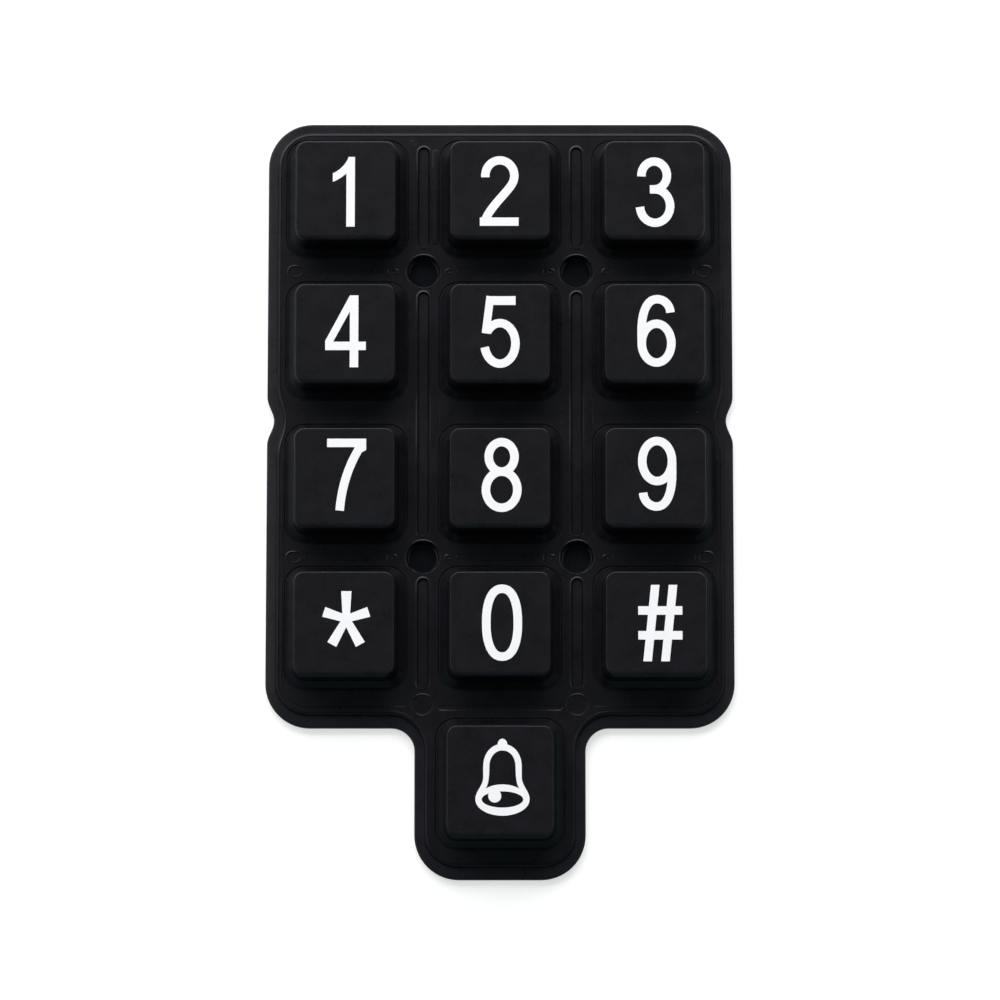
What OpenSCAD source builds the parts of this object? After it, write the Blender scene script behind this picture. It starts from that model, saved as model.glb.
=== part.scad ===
// Moulded silicone rubber keypad: twelve telephone keys and a call key on one mat.
// Lies on its underside. +Y points to the 1-2-3 row, +Z to the printed key tops.
// The origin is at the middle of the mat's outline, on the underside.

/* [Key grid] */
// Distance between key columns
col_pitch = 19.1; // [17.6:0.1:24]
// Distance between key rows
row_pitch = 18; // [17.8:0.1:24]
// Distance from the last row to the call key
bell_pitch = 19.3; // [18.4:0.1:26]

/* [Keys] */
// Width of a key at its top edges
key_w = 12.4; // [9:0.1:13.8]
// Length of a key at its top edges
key_l = 12.2; // [9:0.1:14]
// Length of the keys in the last row
last_row_key_l = 12.6; // [9:0.1:14]
// Width of the call key
bell_key_w = 13.1; // [9:0.1:15]
// Length of the call key
bell_key_l = 13.4; // [9:0.1:14]
// Corner radius of a key at its top edges
key_r = 1.3; // [0.8:0.1:3]
// Height of the key tops above the underside
key_top_h = 8; // [5:0.1:12]
// How much a key wall leans in on each side
key_draft = 0.35; // [0.1:0.05:0.8]
// Size of the soft edge around a key top
key_edge = 0.3; // [0.1:0.05:0.6]

/* [Webs] */
// How far the flexing web slopes out from a key wall
web_run = 1; // [0.6:0.05:1.5]
// How far the web rises from the field to the key wall
web_rise = 0.9; // [0.4:0.05:1.5]
// Thickness of the web, measured straight down
web_t = 0.6; // [0.3:0.05:0.8]
// Width of the fine groove around each web
moat_w = 0.25; // [0.1:0.05:0.4]
// Depth of the fine groove around each web
moat_depth = 0.2; // [0.05:0.05:0.3]

/* [Mat] */
// Height of the outer flange
flange_h = 1.2; // [0.8:0.1:1.6]
// Width of the outer flange
flange_w = 1.4; // [0.8:0.1:1.8]
// Height of the raised field between the keys
field_h = 1.8; // [1.7:0.1:3]
// From the outer keys' webs to the sides of the mat
side_margin = 2.35; // [2.2:0.05:8]
// From the first row's webs to the top edge of the mat
top_margin = 2.25; // [2.2:0.05:8]
// From the last row's webs to the lower edge of the key field
low_margin = 4.7; // [4.4:0.1:5.6]
// From the call key's web to the sides of its tab
tab_side_margin = 2.65; // [2.2:0.05:5]
// From the call key's web to the end of its tab
tab_end_margin = 3.7; // [2.2:0.1:8]
// Outer corner radius of the key field
slab_r = 5.5; // [2.5:0.1:8]
// Outer corner radius of the tab
tab_r = 5.5; // [2.5:0.1:8]
// Radius of the inner corners beside the tab
neck_r = 2.9; // [0.5:0.1:5]
// Depth of the notch in each side
notch_depth = 0.85; // [0.3:0.05:1]
// Length of the notch in each side
notch_l = 6; // [4:0.1:9]
// How far the notches lie below the middle of rows two and three
notch_drop = 1; // [0:0.1:3]

/* [Locating sockets] */
// Radius of the four blind sockets
socket_r = 1.93; // [1:0.01:2]
// Depth of the sockets
socket_depth = 1.2; // [0.5:0.05:1.3]
// Bevel around the mouth of a socket
socket_bevel = 0.2; // [0.05:0.05:0.3]
// How far the sockets lie below the middle of their two rows
socket_drop = 0.2; // [0:0.05:0.5]

/* [Relief of the field] */
// Width of the long grooves between the columns
groove_w = 1.25; // [0.6:0.05:1.8]
// Depth of the long grooves
groove_depth = 0.3; // [0.1:0.05:0.5]
// From a socket's rim to the end of a groove
groove_gap = 0.5; // [0.3:0.1:2]
// From the top edge of the mat to the first groove
groove_top_gap = 3; // [2:0.1:6]
// Width of the shallow slots between rows
slot_w = 1; // [0.6:0.05:1.5]
// Depth of the shallow slots, round marks and ovals
mark_depth = 0.1; // [0.05:0.01:0.2]
// How far the slots reach past the key walls, in total
slot_reach = 0.6; // [0:0.1:2]
// Radius of the round marks below the last row
mark_r = 1.4; // [0.5:0.1:1.6]
// From the lower edge of the key field to the middle of the round marks
mark_gap = 2.8; // [2.6:0.1:3.4]
// Radius of the small marks at the outer slot ends
oval_r = 0.8; // [0.3:0.05:0.9]
// Spacing of the second strip beside the first groove
strip_gap = 1.2; // [1.2:0.05:1.3]
// Width of the second strip
strip_w = 1; // [0.4:0.05:1.1]

/* [Underside] */
// Step from the key wall in to the solid plunger below it
plunger_step = 1.25; // [0.6:0.05:2]
// Travel from the contact pill to the circuit board
travel = 1; // [0.5:0.05:1.2]
// Radius of a contact pill
pill_r = 2.5; // [1.5:0.1:3.5]
// Thickness of a contact pill
pill_t = 0.4; // [0.2:0.05:0.6]
// Width of the air channels
channel_w = 1.5; // [0.6:0.1:3]
// Depth of the air channels
channel_depth = 0.4; // [0.2:0.05:0.5]

/* [Printed legends] */
// Thickness of the printed ink
ink_t = 0.05; // [0.02:0.01:0.1]
// Stroke width of the digits
stroke = 1.05; // [0.5:0.05:1.4]
// Key top left free beside a digit
digit_side_gap = 3.8; // [2.8:0.1:4.2]
// Key top left free above and below a digit of the first row
digit_end_gap = 1.7; // [1.5:0.05:3]
// How much taller the digits are with each further row
digit_growth = 0.2; // [0:0.05:0.3]
// Key top left free beside the bell picture
bell_side_gap = 3.2; // [2.6:0.1:4]
// Key top left free above and below the bell picture
bell_end_gap = 2; // [1.6:0.1:3]
// Stroke width of the bell picture
bell_stroke = 0.72; // [0.3:0.02:1]

/* [Hidden] */
$fn = 48;
// Steps in a quarter turn of a faceted corner
CORNER_STEPS = 4;
// Steps in the soft edge around a key top
EDGE_STEPS = 2;
// Steps in a stretch of a legend's curve
CURVE_STEPS = 10;
// Overlap that makes cuts run clean through a surface
CLEAR = 1;

KEYS = ["1", "2", "3", "4", "5", "6", "7", "8", "9", "star", "0", "hash", "bell"];
COLUMNS = 3;
ROWS = 4;
BELL = COLUMNS * ROWS;
ALL_KEYS = [0 : BELL];

// Where the print sits on each key, measured from the key's middle
PRINT_SHIFT = [[-0.25, -0.35], [-0.1, -0.25], [0.1, -0.4],
    [0.05, 0.1], [0.05, 0], [0.2, 0.15],
    [0.25, 0.1], [0.2, 0.2], [0.2, 0.35],
    [0.3, 0.4], [0.25, -0.05], [0.5, -0.1], [0.3, 0.35]];

// From a key's size at its top to its web's foot, on both sides together
foot_extra = 2 * (key_draft + web_run);
foot_w = key_w + foot_extra;
foot_l = key_l + foot_extra;
last_foot_l = last_row_key_l + foot_extra;
bell_foot_w = bell_key_w + foot_extra;
bell_foot_l = bell_key_l + foot_extra;
foot_r = key_r + web_run / 2;

// Outline of the mat
slab_w = (COLUMNS - 1) * col_pitch + foot_w + 2 * side_margin;
slab_l = top_margin + foot_l / 2 + (ROWS - 1) * row_pitch + last_foot_l / 2 + low_margin;
tab_w = bell_foot_w + 2 * tab_side_margin;
first_row_from_top = top_margin + foot_l / 2;
bell_from_top = first_row_from_top + (ROWS - 1) * row_pitch + bell_pitch;
mat_l = bell_from_top + bell_foot_l / 2 + tab_end_margin;
top_y = mat_l / 2;
slab_low_y = top_y - slab_l;
notch_y = (row_y(1) + row_y(2)) / 2 - notch_drop;
land_x = col_pitch / 2;

// Heights under a key
plunger_h = travel + pill_t;
web_foot_h = field_h - moat_depth;

function row_y(row) = top_y - first_row_from_top - row * row_pitch;
function key_y(i) = i == BELL ? top_y - bell_from_top : row_y(floor(i / COLUMNS));
function key_x(i) = i == BELL ? 0 : (i % COLUMNS - 1) * col_pitch;
function key_size(i) =
    i == BELL ? [bell_key_w, bell_key_l] :
    floor(i / COLUMNS) == ROWS - 1 ? [key_w, last_row_key_l] : [key_w, key_l];
function socket_y(gap) = (row_y(gap) + row_y(gap + 1)) / 2 - socket_drop;
function sum_of(size, extra) = [size.x + extra, size.y + extra];

// Outlines of the mat

// Corner points of a rectangle from two opposite corners
function box_points(low, high) = [low, [high.x, low.y], high, [low.x, high.y]];

// A rectangle with true round corners, from its middle
module round_rect(size, r) {
    square([size.x, size.y - 2 * r], center = true);
    square([size.x - 2 * r, size.y], center = true);
    for (x = [-1, 1], y = [-1, 1])
        translate([x * (size.x / 2 - r), y * (size.y / 2 - r)]) circle(r = r);
}

// A slot with round ends, from its middle, along its longer side
module round_slot(size) {
    r = min(size.x, size.y) / 2;
    square(size.x > size.y ? [size.x - 2 * r, size.y] : [size.x, size.y - 2 * r], center = true);
    for (s = [-1, 1])
        translate(size.x > size.y ? [s * (size.x / 2 - r), 0] : [0, s * (size.y / 2 - r)]) circle(r = r);
}

// Smooth dip in the right side of the outline, as a wave from shoulder to shoulder.
// It gets longer with the inset, as a line that runs beside the dip does.
module notch(inset) {
    steps = 4 * CORNER_STEPS;
    edge_x = slab_w / 2 - inset;
    reach = notch_l / 2 + inset;
    wave = [for (i = [0 : steps]) let (t = i / steps)
        [edge_x - notch_depth * (1 - cos(360 * t)) / 2, notch_y + reach * (2 * t - 1)]];
    outside = edge_x + CLEAR;
    polygon(concat(wave, [[outside, notch_y + reach], [outside, notch_y - reach]]));
}

// Fillet in the right inner corner between the key field and its tab
module neck(corner, r) {
    difference() {
        translate(corner - [CLEAR, r]) square([r + CLEAR, r + CLEAR]);
        translate(corner + [r, -r]) circle(r = r);
    }
}

module on_both_sides() {
    children();
    mirror([1, 0]) children();
}

// Outline of the key field with its tab, moved in from the edge by inset
module mat_outline(inset) {
    // The tab's rectangle runs on into the key field, past the field's round corners
    tab_reach = mat_l - slab_l + 2 * slab_r;
    difference() {
        union() {
            translate([0, top_y - slab_l / 2])
                round_rect([slab_w - 2 * inset, slab_l - 2 * inset], slab_r - inset);
            translate([0, -top_y + tab_reach / 2])
                round_rect([tab_w - 2 * inset, tab_reach - 2 * inset], tab_r - inset);
            on_both_sides() neck([tab_w / 2 - inset, slab_low_y + inset], neck_r + inset);
        }
        on_both_sides() notch(inset);
    }
}

// Keys and what lies under them

// Points of a rounded rectangle, corner by corner, anticlockwise
function ring(w, l, r) = [for (corner = [0 : 3], step = [0 : CORNER_STEPS])
    let (a = 90 * (corner + step / CORNER_STEPS),
        sx = corner == 0 || corner == 3 ? 1 : -1,
        sy = corner < 2 ? 1 : -1)
    [sx * (w / 2 - r) + r * cos(a), sy * (l / 2 - r) + r * sin(a)]];

// Solid through a stack of rounded rectangles, each given as [height, size, corner radius]
module loft(sections) {
    count = 4 * (CORNER_STEPS + 1);
    last = len(sections) - 1;
    points = [for (s = sections) for (p = ring(s[1].x, s[1].y, s[2])) [p.x, p.y, s[0]]];
    sides = [for (k = [0 : last - 1], i = [0 : count - 1]) let (j = (i + 1) % count)
        [k * count + j, k * count + i, (k + 1) * count + i, (k + 1) * count + j]];
    bottom = [for (i = [0 : count - 1]) i];
    lid = [for (i = [count - 1 : -1 : 0]) last * count + i];
    polyhedron(points = points, faces = concat([bottom], sides, [lid]), convexity = 2);
}

// Key with its web: foot, web, leaning wall, soft edge and top
module key_body(i) {
    top = key_size(i);
    wall = sum_of(top, 2 * key_draft);
    foot = sum_of(top, foot_extra);
    soft_edge = [for (step = [0 : EDGE_STEPS]) let (
            a = 90 * step / EDGE_STEPS,
            inset = key_edge * (1 - cos(a)),
            drop = key_edge * (1 - sin(a)))
        [key_top_h - drop, sum_of(top, -2 * inset), key_r - inset]];
    loft(concat([
        [web_foot_h - web_t, foot, foot_r],
        [web_foot_h, foot, foot_r],
        [web_foot_h + web_rise, wall, key_r + key_draft]
    ], soft_edge));
}

// Fine groove that a web rises from
module moat(i) {
    foot = sum_of(key_size(i), foot_extra + 2 * moat_w);
    translate([0, 0, web_foot_h]) linear_extrude(moat_depth + CLEAR) round_rect(foot, foot_r + moat_w);
}

// Hollow under a key, up to the underside of its web
module well(i) {
    foot = sum_of(key_size(i), foot_extra);
    wall = sum_of(key_size(i), 2 * key_draft);
    loft([
        [-CLEAR, foot, foot_r],
        [web_foot_h - web_t, foot, foot_r],
        [web_foot_h - web_t + web_rise, wall, key_r + key_draft]
    ]);
}

// Solid middle of a key that carries the contact pill
module plunger(i) {
    size = sum_of(key_size(i), 2 * (key_draft - plunger_step));
    translate([0, 0, plunger_h]) linear_extrude(web_foot_h + web_rise - plunger_h) round_rect(size, key_r);
}

// Relief of the field

// Long grooves between two columns, broken by the sockets
module land_grooves() {
    clear = socket_r + groove_gap;
    starts = [top_y - groove_top_gap, socket_y(0) - clear, socket_y(2) - clear];
    ends = [socket_y(0) + clear, socket_y(2) + clear, slab_low_y + mark_gap + mark_r + groove_gap];
    for (side = [-1, 1], k = [0 : 2])
        translate([side * land_x, (starts[k] + ends[k]) / 2, field_h - groove_depth])
            linear_extrude(groove_depth + CLEAR) round_slot([groove_w, starts[k] - ends[k]]);
}

// Shallow print of a second strip beside the first left groove
module second_strip() {
    start = top_y - groove_top_gap;
    end = socket_y(0) + socket_r + 2 * groove_gap;
    translate([strip_gap - land_x, (start + end) / 2, field_h - mark_depth])
        linear_extrude(mark_depth + CLEAR) round_slot([strip_w, start - end]);
}

// Shallow slots between the first two and the last two rows
module row_slots() {
    for (gap = [0, 2], column = [-1 : 1])
        translate([column * col_pitch, socket_y(gap), field_h - mark_depth])
            linear_extrude(mark_depth + CLEAR)
                round_slot([key_w + 2 * key_draft + slot_reach, slot_w]);
}

// Round marks left by the mould's pins
module pin_marks() {
    slot_end = col_pitch + (key_w + 2 * key_draft + slot_reach - slot_w) / 2;
    for (side = [-1, 1]) {
        translate([side * land_x, slab_low_y + mark_gap, field_h - mark_depth])
            cylinder(r = mark_r, h = mark_depth + CLEAR);
        for (gap = [0, 2])
            translate([side * slot_end, socket_y(gap), field_h - 2 * mark_depth])
                cylinder(r = oval_r, h = 2 * mark_depth + CLEAR);
    }
}

// Blind sockets with a bevelled mouth
module sockets() {
    for (side = [-1, 1], gap = [0, 2])
        translate([side * land_x, socket_y(gap), 0]) {
            translate([0, 0, field_h - socket_depth]) cylinder(r = socket_r, h = socket_depth + CLEAR);
            translate([0, 0, field_h - socket_bevel])
                cylinder(r1 = socket_r, r2 = socket_r + 2 * socket_bevel, h = 2 * socket_bevel);
        }
}

// Grooves in the underside that let air pass from well to well
module air_channels() {
    for (column = [-1 : 1]) {
        low_y = column == 0 ? key_y(BELL) : row_y(ROWS - 1);
        translate([column * col_pitch - channel_w / 2, low_y, -CLEAR])
            cube([channel_w, row_y(0) - low_y, channel_depth + CLEAR]);
    }
    for (row = [0 : ROWS - 1])
        translate([-col_pitch, row_y(row) - channel_w / 2, -CLEAR])
            cube([2 * col_pitch, channel_w, channel_depth + CLEAR]);
}

// The whole moulding
module keypad_mat() {
    color("#1b1c20") {
        difference() {
            union() {
                difference() {
                    union() {
                        linear_extrude(flange_h) mat_outline(0);
                        linear_extrude(field_h) mat_outline(flange_w);
                    }
                    for (i = ALL_KEYS) translate([key_x(i), key_y(i), 0]) moat(i);
                    land_grooves();
                    second_strip();
                    row_slots();
                    pin_marks();
                    sockets();
                }
                for (i = ALL_KEYS) translate([key_x(i), key_y(i), 0]) key_body(i);
            }
            for (i = ALL_KEYS) translate([key_x(i), key_y(i), 0]) difference() {
                well(i);
                plunger(i);
            }
            air_channels();
        }
    }
}

// Conductive pill bonded under one key's plunger
module contact_pill(i) {
    color("#2b2b2b")
        translate([key_x(i), key_y(i), travel]) cylinder(r = pill_r, h = pill_t);
}

// Curves for the legends

// Point on an oval, squarer than an ellipse when power is above 2
function on_oval(c, r, a, power = 2) = [
    c.x + r.x * sign(cos(a)) * pow(abs(cos(a)), 2 / power),
    c.y + r.y * sign(sin(a)) * pow(abs(sin(a)), 2 / power)];
function oval(c, r, from, to, power = 2, steps = CURVE_STEPS) =
    [for (i = [0 : steps]) on_oval(c, r, from + (to - from) * i / steps, power)];
function whole_oval(c, r, power = 2) =
    [for (i = [0 : 4 * CURVE_STEPS - 1]) on_oval(c, r, 90 * i / CURVE_STEPS, power)];
function bend(p, q, r) = [for (i = [0 : CURVE_STEPS]) let (t = i / CURVE_STEPS)
    (1 - t) * (1 - t) * p + 2 * t * (1 - t) * q + t * t * r];
function sway(p, q, r, s) = [for (i = [0 : CURVE_STEPS]) let (t = i / CURVE_STEPS)
    pow(1 - t, 3) * p + 3 * t * pow(1 - t, 2) * q + 3 * t * t * (1 - t) * r + t * t * t * s];
function stretched(path, half) = [for (p = path) [p.x * half.x, p.y * half.y]];
function flipped(path) = [for (p = path) -p];
function without_first(path) = [for (i = [1 : len(path) - 1]) path[i]];

// Unit vector across a path at one of its points
function across(path, i, closed) =
    let (n = len(path),
        before = closed ? path[(i + n - 1) % n] : path[max(i - 1, 0)],
        after = closed ? path[(i + 1) % n] : path[min(i + 1, n - 1)],
        run = after - before)
    [-run.y, run.x] / norm(run);
function side_of(path, offset, closed) =
    [for (i = [0 : len(path) - 1]) path[i] + offset * across(path, i, closed)];

// Patch of ink inside an outline
module patch(points) {
    linear_extrude(ink_t) polygon(points);
}

// Line of one width along an open path, with square ends
module line_along(path, width = stroke) {
    left = side_of(path, width / 2, false);
    right = side_of(path, -width / 2, false);
    patch(concat(left, [for (i = [len(right) - 1 : -1 : 0]) right[i]]));
}

// Line of one width around a closed path
module line_around(path, width = stroke) {
    linear_extrude(ink_t) difference() {
        polygon(side_of(path, -width / 2, true));
        polygon(side_of(path, width / 2, true));
    }
}

// Digits. Their middle lines lie in a box from -1 to 1, and half is that box's real half size.

module glyph_0(half) {
    line_around(stretched(whole_oval([0, 0], [1.03, 1], 2.3), half));
}

module glyph_1(half) {
    stem_x = 0.45 * half.x;
    top = half.y + stroke / 2;
    line_along([[stem_x, -top], [stem_x, top - stroke]]);
    crown = [stem_x - stroke / 4, top];
    flag_x = -0.73 * half.x;
    upper = bend([flag_x, 0.6 * half.y], [0.05 * half.x, 0.78 * half.y], crown);
    lower = bend([stem_x - stroke / 2, 0.6 * half.y], [-0.27 * half.x, 0.41 * half.y],
        [flag_x, 0.32 * half.y]);
    shoulder = stem_x + stroke / 2;
    patch(concat(upper, [[shoulder, top], [shoulder, top - 2 * stroke]], lower));
}

module glyph_2(half) {
    hook_from = 186;
    hook_to = -20;
    hook = oval([0.04, 0.5], [0.96, 0.5], hook_from, hook_to, steps = 2 * CURVE_STEPS);
    tail = sway(hook[2 * CURVE_STEPS], [0.78, 0.03], [-0.68, -0.5], [-1, -1.05]);
    line_along(stretched(concat(hook, without_first(tail)), half));
    foot = half + [stroke / 2, stroke / 2];
    patch(box_points(-foot, [foot.x, stroke - foot.y]));
}

module glyph_3(half) {
    bar_end = [-0.34, 0.09];
    upper_from = 184;
    lower_to = -177;
    upper = oval([-0.05, 0.545], [0.845, 0.455], upper_from, -90, steps = 2 * CURVE_STEPS);
    lower = oval([0, -0.455], [1, 0.545], 90, lower_to, steps = 2 * CURVE_STEPS);
    line_along(stretched(concat(upper, [bar_end]), half));
    line_along(stretched(concat([bar_end], lower), half));
}

module glyph_4(half) {
    top = half.y + stroke / 2;
    left = -half.x - 0.6 * stroke;
    stem_x = 0.56 * half.x;
    bar_y = -0.46 * half.y;
    line_along([[stem_x, -top], [stem_x, top]]);
    line_along([[left, bar_y], [-left, bar_y]]);
    inner = [left + 0.93 * stroke, stem_x - stroke / 2];
    patch([[left, bar_y], [left, bar_y + 0.6 * stroke], [inner[1], top], [stem_x, top],
        [stem_x, top - 1.8 * stroke], [inner[1], top - 1.9 * stroke],
        [inner[0], bar_y + stroke / 2], [inner[0], bar_y]]);
}

module glyph_5(half) {
    top = half.y + stroke / 2;
    stem = [[-0.66 * half.x, top], [-0.97 * half.x, -0.04 * half.y]];
    line_along(stem, 0.92 * stroke);
    patch(box_points([stem[0].x - 0.46 * stroke, top - 1.05 * stroke], [half.x, top]));
    bowl_from = 146;
    bowl_to = -169;
    bowl = oval([-0.03, -0.355], [1.02, 0.64], bowl_from, bowl_to, steps = 3 * CURVE_STEPS);
    line_along(stretched(bowl, half));
}

module glyph_6(half) {
    line_around(stretched(whole_oval([0, -0.385], [0.975, 0.612]), half));
    line_along(stretched(six_arm(), half));
}

function six_arm() = concat([[-0.975, -0.385]],
    oval([0.06, -0.05], [1.04, 1.05], 180, 90, 2.3),
    without_first(oval([0.06, 0.555], [0.865, 0.445], 90, 3)));

module glyph_7(half) {
    top = half + [stroke / 2, stroke / 2];
    patch(box_points([-top.x, top.y - stroke], top));
    line_along(stretched(bend([0.97, 0.94], [-0.24, 0.08], [-0.44, -1.06]), half));
    patch([[half.x - stroke / 2, half.y], [top.x, half.y], [top.x, half.y - 0.85 * stroke],
        [half.x, half.y - 1.1 * stroke]]);
}

module glyph_8(half) {
    line_around(stretched(whole_oval([0, 0.55], [0.845, 0.45]), half));
    line_around(stretched(whole_oval([0, -0.45], [1.03, 0.55]), half));
}

module glyph_9(half) {
    line_around(stretched(flipped(whole_oval([0, -0.385], [0.975, 0.612])), half));
    line_along(stretched(flipped(six_arm()), half));
}

module glyph_star(half) {
    inner = 0.42 * stroke;
    outer = 0.6 * stroke;
    ends = [[0, 0.82], [1.47, 0.21], [0.93, -0.75], [-0.93, -0.75], [-1.47, 0.21]];
    for (end = stretched(ends, half)) {
        side = [-end.y, end.x] / norm(end);
        patch([inner * side, -inner * side, end - outer * side, end + outer * side]);
    }
    cylinder(r = inner, h = ink_t);
}

module glyph_hash(half) {
    slant = 0.26 * half.x;
    top = half.y + stroke / 2;
    for (x = [-0.58, 0.58] * half.x)
        patch([[x - slant - stroke / 2, -top], [x - slant + stroke / 2, -top],
            [x + slant + stroke / 2, top], [x + slant - stroke / 2, top]]);
    for (y = [-0.36, 0.37] * half.y)
        line_along([[-1.44 * half.x, y], [1.44 * half.x, y]]);
}

// Closed outline from its right half, which starts and ends on the middle line
function both_halves(right) =
    concat(right, [for (i = [len(right) - 2 : -1 : 1]) [-right[i].x, right[i].y]]);

// Hand bell with a nub, a flared rim seen from below and a clapper
module glyph_bell(half) {
    squareness = 2.1;
    rim_c = [0, -0.58 * half.y];
    rim = [0.985 * half.x, half.y + rim_c.y];
    dome_c = [0, 0.27 * half.y];
    dome = [0.7 * half.x, 0.86 * half.y - dome_c.y];
    hollow = dome - [1.04, 1.1] * bell_stroke;
    brow = [0.89 * rim.x, 0.93 * rim.y];
    mouth = [rim.x - 1.07 * bell_stroke, 0.5 * rim.y];
    flare = sway([rim.x, rim_c.y], [rim.x, 0.63 * rim_c.y], [1.04 * dome.x, 0.44 * rim_c.y],
        [dome.x, 0.04 * rim_c.y]);
    body = concat(oval(rim_c, rim, -90, 0), without_first(flare),
        oval(dome_c, dome, 0, 90, squareness));
    brow_line = oval(rim_c, brow, 90, acos(0.88 * dome.x / brow.x));
    hollow_side = bend(brow_line[CURVE_STEPS], [hollow.x, 0.3 * rim_c.y], [hollow.x, dome_c.y]);
    inside = concat(brow_line, without_first(hollow_side),
        without_first(oval(dome_c, hollow, 0, 90, squareness)));
    nub_c = dome_c + [0, 0.96 * dome.y];
    nub = [0.18 * half.x, 0.16 * half.y];
    linear_extrude(ink_t) difference() {
        union() {
            polygon(both_halves(body));
            polygon(oval(nub_c, nub, 0, 180));
        }
        polygon(both_halves(inside));
        difference() {
            polygon(whole_oval(rim_c, mouth));
            translate(rim_c + [-0.28 * half.x, 0.09 * half.y]) circle(r = 1.1 * bell_stroke);
        }
    }
}

// Ink on one key top
module legend(i) {
    row = floor(i / COLUMNS);
    digit = [key_w / 2 - digit_side_gap, key_l / 2 - digit_end_gap + row * digit_growth / 2];
    half = digit - [stroke / 2, stroke / 2];
    color("#f4f4f6")
        translate([key_x(i) + PRINT_SHIFT[i].x, key_y(i) + PRINT_SHIFT[i].y, key_top_h]) {
            if (KEYS[i] == "1") glyph_1(half);
            if (KEYS[i] == "2") glyph_2(half);
            if (KEYS[i] == "3") glyph_3(half);
            if (KEYS[i] == "4") glyph_4(half);
            if (KEYS[i] == "5") glyph_5(half);
            if (KEYS[i] == "6") glyph_6(half);
            if (KEYS[i] == "7") glyph_7(half);
            if (KEYS[i] == "8") glyph_8(half);
            if (KEYS[i] == "9") glyph_9(half);
            if (KEYS[i] == "0") glyph_0(half);
            if (KEYS[i] == "star") glyph_star(half);
            if (KEYS[i] == "hash") glyph_hash(half);
            if (KEYS[i] == "bell")
                glyph_bell([bell_key_w / 2 - bell_side_gap, bell_key_l / 2 - bell_end_gap]);
        }
}

keypad_mat();
for (i = ALL_KEYS) {
    contact_pill(i);
    legend(i);
}
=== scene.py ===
"""Dressed model of a moulded silicone rubber keypad: one black mat with thirteen printed keys.

The mat is one closed surface. Its outline and every form on it are rings worked out with numpy from the
sizes below, which are in millimetres, and the flat faces between the forms are triangulated. The surface
is scaled to metres once, when its mesh is made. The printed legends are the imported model's own solids.
"""

from __future__ import annotations

import logging
import math
from collections.abc import Sequence
from dataclasses import dataclass
from enum import Enum
from typing import Any

import bpy
import numpy as np
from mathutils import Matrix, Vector
from mathutils.geometry import delaunay_2d_cdt


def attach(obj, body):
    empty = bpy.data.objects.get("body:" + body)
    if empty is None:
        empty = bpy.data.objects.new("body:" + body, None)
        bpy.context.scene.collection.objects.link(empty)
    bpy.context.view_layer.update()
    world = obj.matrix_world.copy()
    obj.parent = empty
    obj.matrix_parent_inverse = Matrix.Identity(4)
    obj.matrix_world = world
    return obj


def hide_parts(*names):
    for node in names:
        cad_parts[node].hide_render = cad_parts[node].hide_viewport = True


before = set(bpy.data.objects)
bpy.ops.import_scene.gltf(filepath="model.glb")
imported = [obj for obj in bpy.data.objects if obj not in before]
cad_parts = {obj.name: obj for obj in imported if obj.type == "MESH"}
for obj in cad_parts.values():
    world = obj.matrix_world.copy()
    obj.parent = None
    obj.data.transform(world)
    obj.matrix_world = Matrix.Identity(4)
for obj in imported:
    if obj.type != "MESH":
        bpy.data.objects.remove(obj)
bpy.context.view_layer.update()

log = logging.getLogger("keypad")

MM = 0.001
# Width of the level row that keeps a form's curve off the flat face around it
LEVEL_ROW = 0.025
# A corner's rounding takes at most this share of its shorter leg
MOST_OF_LEG = 0.45
# The row beyond a rounding lies past it by these shares of the rounding and of the shorter leg, which
# counts up to 1 mm
HELD_BEYOND = (0.08, 0.02)
# A rounded rectangle's second point beside a corner lies this far along the side in mm, or at this share
# of the way to its middle if that is less
SIDE_POINT = (0.25, 0.3)
# Points of a flat face closer than this, in mm, count as touching
TOUCHING = 1e-5
BODY = "root"
WHITE = (1.0, 1.0, 1.0, 1.0)
# Most of a noise's values lie between these
NOISE_RANGE = {"From Min": 0.3, "From Max": 0.7}

# Pairs of numbers: points as (x, y), a profile's knots as (inset, height), or stretches as (high, low)
Points = tuple[tuple[float, float], ...]
# A noise: the size of its features in mm, its detail and its roughness
Noise = tuple[float, float, float]


class Slot(Enum):
    """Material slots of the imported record."""

    SILICONE = "silicone"
    CARBON = "carbon_pill"
    INK = "ink"


class Side(Enum):
    """Which way a form of the surface faces: out of the key side or out of the underside."""

    FRONT = 1
    BACK = -1


# Profiles: how a form rises and falls from its rim inwards, as rows of (inset, height)


def soft_profile(corners: Sequence[tuple[float, float, float]], steps: int = 6) -> np.ndarray:
    """Line through corner points, each rounded.

    Around a corner P the line leaves its legs at A and B, both at the corner's softness from P, and
    follows the parabola (1 - t)^2 A + 2 t (1 - t) P + t^2 B. A row just beyond A and B keeps the legs
    straight up to there.

    Args:
        corners: Points as (inset, height, softness). The first and last have no softness.
        steps: Steps along each rounded corner.

    Returns:
        Rows of (inset, height).
    """
    points = np.array([c[:2] for c in corners])
    legs = np.diff(points, axis=0)
    lengths = np.hypot(legs[:, 0], legs[:, 1])
    t = np.linspace(0, 1, steps + 1)[:, None]
    rows = [points[:1]]
    for i in range(1, len(corners) - 1):
        shorter = min(lengths[i - 1], lengths[i])
        reach = min(corners[i][2], MOST_OF_LEG * shorter)
        back = legs[i - 1] / lengths[i - 1]
        ahead = legs[i] / lengths[i]
        a = points[i] - back * reach
        b = points[i] + ahead * reach
        keep = HELD_BEYOND[0] * reach + HELD_BEYOND[1] * min(shorter, 1.0)
        curve = (1 - t) ** 2 * a + 2 * t * (1 - t) * points[i] + t**2 * b
        rows += [(a - back * keep)[None], curve, (b + ahead * keep)[None]]
    rows.append(points[-1:])
    return np.concatenate(rows)


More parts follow.
